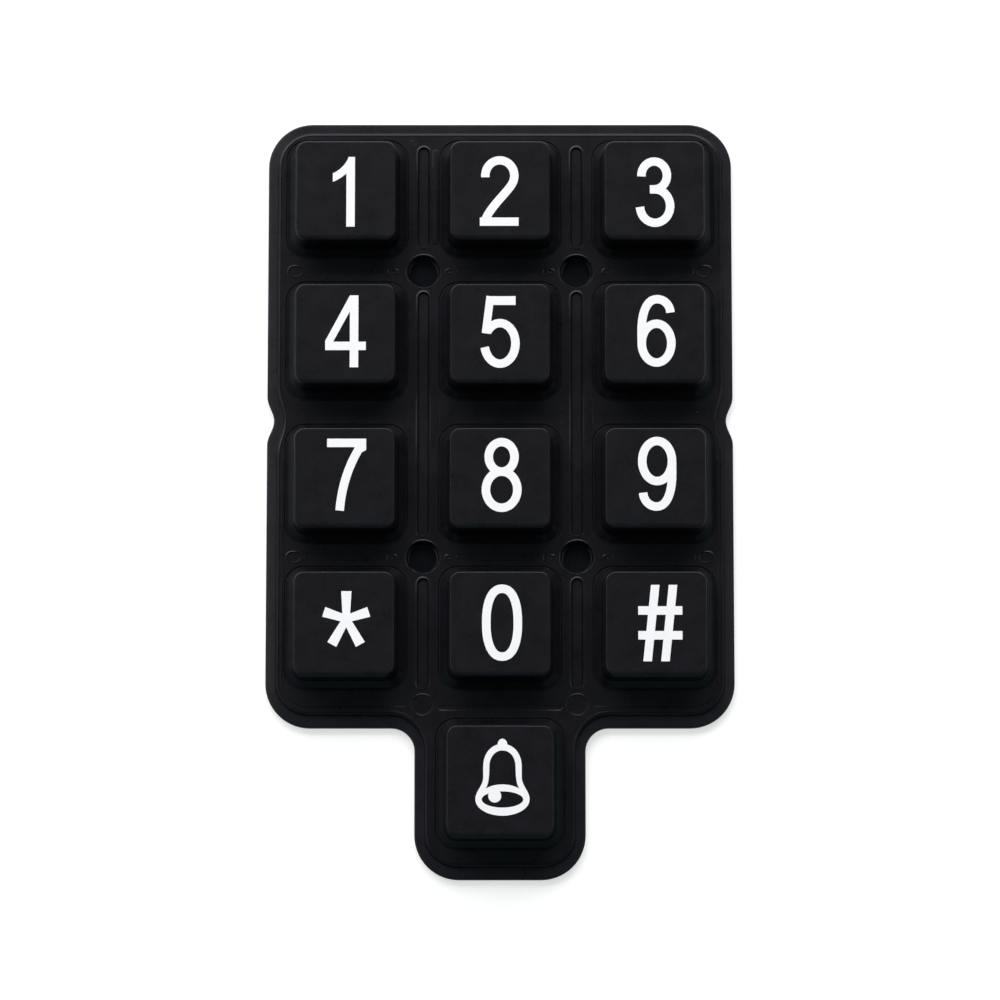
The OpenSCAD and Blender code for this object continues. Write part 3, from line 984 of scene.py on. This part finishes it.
@dataclass(frozen=True)
class BlackSilicone:
    """Black silicone rubber, compression moulded in a finely blasted steel mould.

    It looks deep black with a soft, slightly bluish sheen, because the blasted mould leaves a fine tooth
    that spreads its weak reflections, and the skin holds faint cloudy patches where the rubber flowed.
    """

    name: str = "moulded silicone rubber, black"
    dark: str = "#100e12"
    pale: str = "#1a191e"
    # Painted light: the low flange is painted a little paler, standing in for the extra light that it catches
    # out in the open
    painted_flange_light: str = "#1d1c22"
    painted_light_z_mm: tuple[float, float] = (1.7, 1.3)
    # Share of the painted light that is left where the clouds thin it out
    painted_light_least: float = 0.3
    # Polished pins form the four sockets, so their floors are smoother
    pin_roughness: float = 0.14
    pin_x_mm: float = 9.55
    pin_y_mm: tuple[float, float] = (28.475, -7.525)
    pin_r_mm: float = 1.95
    ior: float = 1.41
    # The blasted skin gives back less of a mirror image than a polished one
    specular_level: float = 0.3
    roughness: tuple[float, float] = (0.27, 0.29)
    # Blasted tooth, drawn a little coarser than the real 0.05 mm so that it shows
    tooth: Noise = (0.14, 3.0, 0.6)
    tooth_height_mm: float = 0.002
    clouds: Noise = (2.5, 4.0, 0.55)
    # Share of the fine grain in the colour, beside the clouds
    grain_share: float = 0.5
    grain: Noise = (0.3, 2.0, 0.5)
    ripple: Noise = (1.4, 2.0, 0.5)
    ripple_height_mm: float = 0.004

    def sockets(self, tree: bpy.types.NodeTree, place: bpy.types.NodeSocket) -> bpy.types.NodeSocket:
        """Mask of the four sockets: 1 where the point's distance from the nearest one is below its radius.

        The point is folded onto one socket: |x|, and |y - the middle of the two rows|.

        Args:
            tree: The node tree.
            place: The point.

        Returns:
            Output that holds the mask.
        """
        high, low = self.pin_y_mm
        centred = add_node(
            tree, "ShaderNodeVectorMath", {1: (0.0, (high + low) / 2 * MM, 0.0)}, {0: place},
            operation="SUBTRACT",
        ).outputs[0]
        folded = add_node(tree, "ShaderNodeVectorMath", links={0: centred}, operation="ABSOLUTE").outputs[0]
        level = add_node(
            tree, "ShaderNodeVectorMath", {1: (1.0, 1.0, 0.0)}, {0: folded}, operation="MULTIPLY"
        ).outputs[0]
        away = add_node(
            tree, "ShaderNodeVectorMath", {1: (self.pin_x_mm * MM, (high - low) / 2 * MM, 0.0)}, {0: level},
            operation="DISTANCE",
        ).outputs["Value"]
        return add_node(
            tree, "ShaderNodeMath", {1: self.pin_r_mm * MM}, {0: away}, operation="LESS_THAN"
        ).outputs[0]

    def material(self) -> bpy.types.Material:
        """Builds the material.

        Returns:
            The material.
        """
        material, tree = blank_material(self.name)
        place = add_node(tree, "ShaderNodeTexCoord").outputs["Object"]
        clouds, tooth, ripple, grain = (
            add_node(
                tree, "ShaderNodeTexNoise",
                {"Scale": pattern_scale(size), "Detail": detail, "Roughness": fade}, {"Vector": place},
            ).outputs["Fac"]
            for size, detail, fade in (self.clouds, self.tooth, self.ripple, self.grain)
        )
        both = add_node(
            tree, "ShaderNodeMix", {0: self.grain_share}, {2: clouds, 3: grain}, data_type="FLOAT"
        ).outputs[0]
        spread = add_node(tree, "ShaderNodeMapRange", NOISE_RANGE, {"Value": both}).outputs["Result"]
        colour = add_node(
            tree, "ShaderNodeMix", {6: linear(self.dark), 7: linear(self.pale)}, {0: spread}, data_type="RGBA"
        ).outputs[2]
        rough = add_node(
            tree, "ShaderNodeMapRange",
            NOISE_RANGE | {"To Min": self.roughness[0], "To Max": self.roughness[1]},
            {"Value": clouds},
        ).outputs["Result"]
        socket = self.sockets(tree, place)
        rough = add_node(
            tree, "ShaderNodeMix", {3: self.pin_roughness}, {0: socket, 2: rough}, data_type="FLOAT"
        ).outputs[0]
        # Painted light: below the field's height and outside the sockets, the colour turns paler in patches,
        # for the extra light on the open flange
        z = add_node(tree, "ShaderNodeSeparateXYZ", links={0: place}).outputs["Z"]
        low = add_node(
            tree, "ShaderNodeMapRange",
            {"From Min": self.painted_light_z_mm[0] * MM, "From Max": self.painted_light_z_mm[1] * MM}, {"Value": z},
        ).outputs["Result"]
        outside = add_node(tree, "ShaderNodeMath", {0: 1.0}, {1: socket}, operation="SUBTRACT").outputs[0]
        patchy = add_node(
            tree, "ShaderNodeMapRange", NOISE_RANGE | {"To Min": self.painted_light_least, "To Max": 1.0},
            {"Value": clouds},
        ).outputs["Result"]
        painted_light_share = low
        for share in (outside, patchy):
            painted_light_share = add_node(
                tree, "ShaderNodeMath", links={0: painted_light_share, 1: share}, operation="MULTIPLY"
            ).outputs[0]
        colour = add_node(
            tree, "ShaderNodeMix", {7: linear(self.painted_flange_light)}, {0: painted_light_share, 6: colour}, data_type="RGBA"
        ).outputs[2]
        broad = add_node(
            tree, "ShaderNodeBump", {"Strength": 1.0, "Distance": self.ripple_height_mm * MM},
            {"Height": ripple},
        ).outputs["Normal"]
        fine = add_node(
            tree, "ShaderNodeBump", {"Strength": 1.0, "Distance": self.tooth_height_mm * MM},
            {"Height": tooth, "Normal": broad},
        ).outputs["Normal"]
        shader = add_node(
            tree, "ShaderNodeBsdfPrincipled",
            {"IOR": self.ior, "Metallic": 0.0, "Specular IOR Level": self.specular_level},
            {"Base Color": colour, "Roughness": rough, "Normal": fine},
        ).outputs["BSDF"]
        add_node(tree, "ShaderNodeOutputMaterial", links={"Surface": shader})
        return material


@dataclass(frozen=True)
class MottledFinish:
    """A finish that shades from one colour to another and has a fine relief, each after a noise."""

    name: str
    dark: str
    pale: str
    ior: float
    roughness: float
    shade: Noise
    relief: Noise
    relief_height_mm: float

    def material(self) -> bpy.types.Material:
        """Builds the material.

        Returns:
            The material.
        """
        material, tree = blank_material(self.name)
        place = add_node(tree, "ShaderNodeTexCoord").outputs["Object"]
        shade, relief = (
            add_node(
                tree, "ShaderNodeTexNoise",
                {"Scale": pattern_scale(size), "Detail": detail, "Roughness": fade}, {"Vector": place},
            ).outputs["Fac"]
            for size, detail, fade in (self.shade, self.relief)
        )
        colour = add_node(
            tree, "ShaderNodeMix", {6: linear(self.dark), 7: linear(self.pale)}, {0: shade}, data_type="RGBA"
        ).outputs[2]
        normal = add_node(
            tree, "ShaderNodeBump", {"Strength": 1.0, "Distance": self.relief_height_mm * MM},
            {"Height": relief},
        ).outputs["Normal"]
        shader = add_node(
            tree, "ShaderNodeBsdfPrincipled", {"IOR": self.ior, "Roughness": self.roughness},
            {"Base Color": colour, "Normal": normal},
        ).outputs["BSDF"]
        add_node(tree, "ShaderNodeOutputMaterial", links={"Surface": shader})
        return material


@dataclass(frozen=True)
class PrintedInk(MottledFinish):
    """White silicone ink, screen printed and cured on the key tops.

    It looks like a clean, slightly cool white with a soft gloss. It shades where the ink flowed, and the
    mesh of the screen leaves it very slightly uneven.
    """

    name: str = "screen-printed silicone ink, white"
    dark: str = "#ededf1"
    pale: str = "#f6f6f9"
    ior: float = 1.41
    roughness: float = 0.5
    shade: Noise = (1.6, 3.0, 0.5)
    relief: Noise = (0.15, 1.0, 0.5)
    relief_height_mm: float = 0.003


@dataclass(frozen=True)
class CarbonRubber(MottledFinish):
    """Conductive silicone rubber filled with carbon black, die cut from sheet.

    It looks flat and a little greyer than the mat, with a dry, dusty grain.
    """

    name: str = "conductive carbon rubber"
    dark: str = "#222224"
    pale: str = "#303032"
    ior: float = 1.45
    roughness: float = 0.8
    shade: Noise = (0.2, 3.0, 0.7)
    relief: Noise = (0.2, 3.0, 0.7)
    relief_height_mm: float = 0.01


# The studio


@dataclass(frozen=True)
class SoftBox:
    """One large soft lamp, aimed at the object's middle. Angles are in degrees, sizes in metres."""

    name: str
    azimuth: float
    elevation: float
    distance: float
    width: float
    height: float
    radiance: float
    # A little warm, which balances the cool room, so that white ink stays neutral
    colour: tuple[float, float, float] = (1.0, 0.943, 0.943)

    def build(self) -> None:
        """Places the lamp. An area lamp of A square metres and radiance L takes pi A L watts."""
        a, e = math.radians(self.azimuth), math.radians(self.elevation)
        lamp = bpy.data.lights.new(self.name, "AREA")
        lamp.shape = "RECTANGLE"
        lamp.size = self.width
        lamp.size_y = self.height
        lamp.color = self.colour
        lamp.energy = self.radiance * math.pi * self.width * self.height
        holder = bpy.data.objects.new(self.name, lamp)
        way = Vector((math.sin(a) * math.cos(e), math.cos(a) * math.cos(e), math.sin(e)))
        holder.location = way * self.distance
        holder.rotation_euler = way.to_track_quat("Z", "Y").to_euler()
        holder.visible_camera = False
        bpy.context.scene.collection.objects.link(holder)


@dataclass(frozen=True)
class Studio:
    """White table, soft lamps and the camera."""

    # The camera looks down from a little below the mat's lower end
    aim_y: float = -0.11
    camera_distance: float = 560.0
    camera_tilt: float = 8.0
    lens: float = 161.93
    sensor: float = 36.0
    floor_side: float = 8.0
    floor_steps: int = 8
    floor_drop: float = 0.02
    floor_colour: str = "#c4c4c4"
    floor_lift: float = 0.6
    # Painted reflection: in mirrored rays the table glows, dim on the near side and bright on the far side,
    # as if strongly lit there
    floor_reflected_glow: tuple[float, float] = (0.2, 1.0)
    # Between these places along y, the one turns into the other
    floor_ramp_mm: tuple[float, float] = (-40.0, 15.0)
    # The room is dim overhead and pale at the horizon
    overhead_colour: tuple[float, float, float, float] = (0.002, 0.052, 0.048, 1.0)
    horizon_colour: tuple[float, float, float, float] = (0.09, 0.19, 0.19, 1.0)
    # Between these heights of the line of sight, from 1 straight up to 0 level, the one turns into the other
    horizon_ramp: tuple[float, float] = (0.9, 0.2)
    boxes: tuple[SoftBox, ...] = (
        SoftBox("far_soft_box", -12.0, 45.0, 1.3, 2.2, 0.8, 5.5),
        SoftBox("left_soft_box", -90.0, 60.0, 1.3, 0.6, 0.6, 1.65),
        SoftBox("right_soft_box", 90.0, 60.0, 1.3, 0.6, 0.6, 1.22),
    )

    def camera(self) -> None:
        """Places the camera at its distance along a line that leans by the tilt from the vertical."""
        data = bpy.data.cameras.new("camera")
        data.lens = self.lens
        data.sensor_width = self.sensor
        data.clip_start = 0.01
        data.clip_end = 50.0
        camera = bpy.data.objects.new("camera", data)
        tilt = math.radians(self.camera_tilt)
        reach = self.camera_distance * MM
        camera.location = (0.0, self.aim_y * MM - reach * math.sin(tilt), reach * math.cos(tilt))
        camera.rotation_euler = (tilt, 0.0, 0.0)
        bpy.context.scene.collection.objects.link(camera)
        bpy.context.scene.camera = camera

    def floor(self) -> None:
        """The table: one large flat sheet under the mat, white for the camera outside the shadow, and glowing
        in reflections as a painted reflection.
        """
        half = self.floor_side / 2
        steps = np.linspace(-half, half, self.floor_steps + 1)
        x, y = np.meshgrid(steps, steps, indexing="ij")
        points = np.stack([x.ravel(), y.ravel(), np.full(x.size, -self.floor_drop * MM)], axis=1)
        number = np.arange(x.size).reshape(x.shape)
        quads = np.stack([number[:-1, :-1], number[1:, :-1], number[1:, 1:], number[:-1, 1:]], axis=2)
        mesh = bpy.data.meshes.new("table")
        mesh.from_pydata(points.tolist(), [], quads.reshape(-1, 4).tolist())
        mesh.update()
        floor = bpy.data.objects.new("table", mesh)
        bpy.context.scene.collection.objects.link(floor)
        material, tree = blank_material("white table")
        rays = add_node(tree, "ShaderNodeLightPath")
        place = add_node(tree, "ShaderNodeTexCoord").outputs["Object"]
        along = add_node(tree, "ShaderNodeSeparateXYZ", links={0: place}).outputs["Y"]
        far = add_node(
            tree, "ShaderNodeMapRange",
            {
                "From Min": self.floor_ramp_mm[0] * MM, "From Max": self.floor_ramp_mm[1] * MM,
                "To Min": self.floor_reflected_glow[0], "To Max": self.floor_reflected_glow[1],
            },
            {"Value": along}, interpolation_type="SMOOTHSTEP",
        ).outputs["Result"]
        seen = add_node(
            tree, "ShaderNodeMath", {1: self.floor_lift}, {0: rays.outputs["Is Camera Ray"]},
            operation="MULTIPLY",
        ).outputs[0]
        # Painted reflection: glossy rays see the table glow, ramped from the near side to the far side
        mirrored, glow = (
            add_node(tree, "ShaderNodeEmission", {"Color": WHITE}, {"Strength": strength}).outputs[0]
            for strength in (far, seen)
        )
        matt = add_node(tree, "ShaderNodeBsdfDiffuse", {"Color": linear(self.floor_colour)}).outputs[0]
        both = add_node(tree, "ShaderNodeAddShader", links={0: matt, 1: glow}).outputs[0]
        table = add_node(
            tree, "ShaderNodeMixShader", links={0: rays.outputs["Is Glossy Ray"], 1: both, 2: mirrored}
        ).outputs[0]
        add_node(tree, "ShaderNodeOutputMaterial", links={"Surface": table})
        mesh.materials.append(material)

    def sky(self) -> None:
        """The room: dim overhead, pale at the horizon, and white where the camera sees it."""
        world = bpy.data.worlds.new("room")
        world.use_nodes = True
        tree = world.node_tree
        tree.nodes.clear()
        way = add_node(tree, "ShaderNodeTexCoord").outputs["Generated"]
        height = add_node(tree, "ShaderNodeSeparateXYZ", links={0: way}).outputs["Z"]
        band = add_node(
            tree, "ShaderNodeMapRange",
            {"From Min": self.horizon_ramp[0], "From Max": self.horizon_ramp[1]}, {"Value": height},
            interpolation_type="SMOOTHSTEP",
        ).outputs["Result"]
        room = add_node(
            tree, "ShaderNodeMix", {6: self.overhead_colour, 7: self.horizon_colour}, {0: band},
            data_type="RGBA",
        ).outputs[2]
        seen = add_node(tree, "ShaderNodeLightPath").outputs["Is Camera Ray"]
        colour = add_node(
            tree, "ShaderNodeMix", {7: WHITE}, {0: seen, 6: room}, data_type="RGBA"
        ).outputs[2]
        glow = add_node(tree, "ShaderNodeBackground", {"Strength": 1.0}, {"Color": colour})
        add_node(tree, "ShaderNodeOutputWorld", links={"Surface": glow.outputs[0]})
        bpy.context.scene.world = world

    def build(self) -> None:
        """Sets the camera, the table, the room and the lamps."""
        bpy.context.scene.view_settings.view_transform = "Standard"
        self.camera()
        self.floor()
        self.sky()
        for box in self.boxes:
            box.build()


def dress(piece: bpy.types.Object, material: bpy.types.Material, slot: Slot) -> None:
    """Gives a new piece its material and the body that it rides on.

    Args:
        piece: The piece.
        material: Its material.
        slot: Its material slot in the record. Not used.
    """
    piece.data.materials.clear()
    piece.data.materials.append(material)
    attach(piece, BODY)


def main() -> None:
    """Builds the studio, the moulding, the pills and the print, in that order."""
    logging.basicConfig(level=logging.INFO, format="%(name)s: %(message)s")
    Studio().build()

    mat = MatMoulding().build()
    dress(mat, BlackSilicone().material(), Slot.SILICONE)
    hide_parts("keypad_mat")
    log.info("%s: %d faces", mat.name, len(mat.data.polygons))

    carbon = CarbonRubber().material()
    for pill, solid in ContactPills().build():
        dress(pill, carbon, Slot.CARBON)
        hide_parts(solid)
    log.info("contact pills made")

    ink = PrintedInk().material()
    legends = [node for name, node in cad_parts.items() if name.startswith("legend_")]
    for legend in legends:
        legend.data.materials.clear()
        legend.data.materials.append(ink)
    log.info("%d printed legends dressed", len(legends))


if __name__ == "__main__":
    main()
